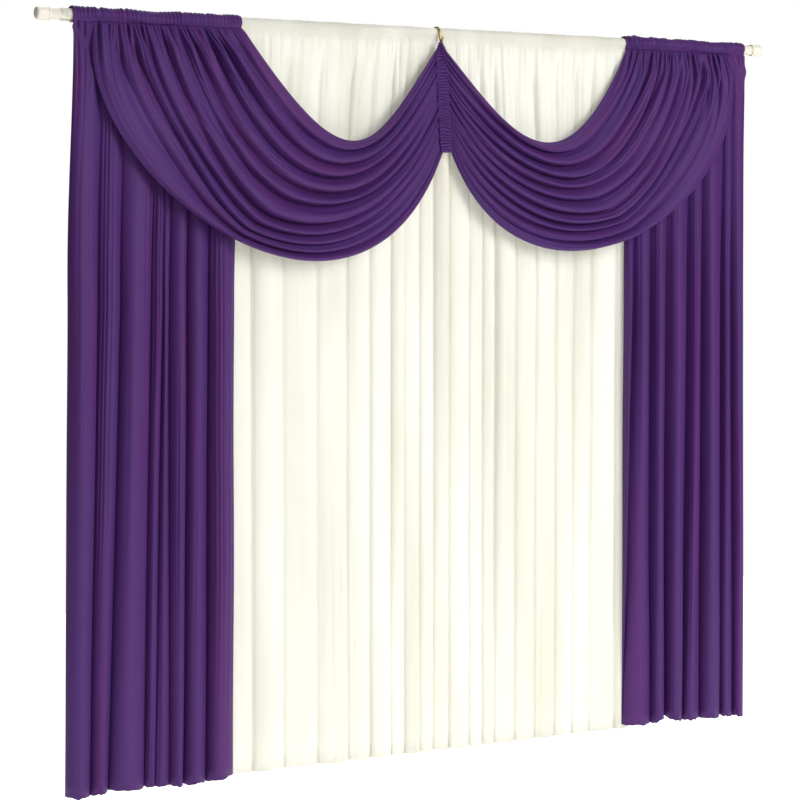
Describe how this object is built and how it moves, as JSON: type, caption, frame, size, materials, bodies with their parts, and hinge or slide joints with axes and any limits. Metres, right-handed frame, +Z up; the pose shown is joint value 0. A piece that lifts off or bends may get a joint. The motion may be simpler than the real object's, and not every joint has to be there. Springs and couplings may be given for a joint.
{
  "type": "curtain set with swags on a rod",
  "caption": "Rod-pocket curtain: a sheer cream voile between two dark purple side panels, two draped swags meeting at a ruched centre strip, on a white rod with end caps",
  "frame": {"origin": "on the rod's axis, half way along the rod", "axes": "+X along the rod, -Y towards the room, +Z up"},
  "size_m": [2.05, 0.1026, 1.8054],
  "materials": {
    "rod_enamel": "satin white enamel",
    "cap_plastic": "moulded white plastic",
    "hook_brass": "drawn brass wire",
    "voile": "sheer cream voile",
    "purple_knit": "matt purple polyester knit"
  },
  "bodies": {
    "root": {"rod": "rod_enamel", "cap_left": "cap_plastic", "cap_right": "cap_plastic", "hook": "hook_brass", "voile": "voile", "panel_left": "purple_knit", "panel_right": "purple_knit", "swag_left": "purple_knit", "swag_right": "purple_knit", "centre_strip": "purple_knit", "hanging_loop": "purple_knit"}
  },
  "joints": []
}
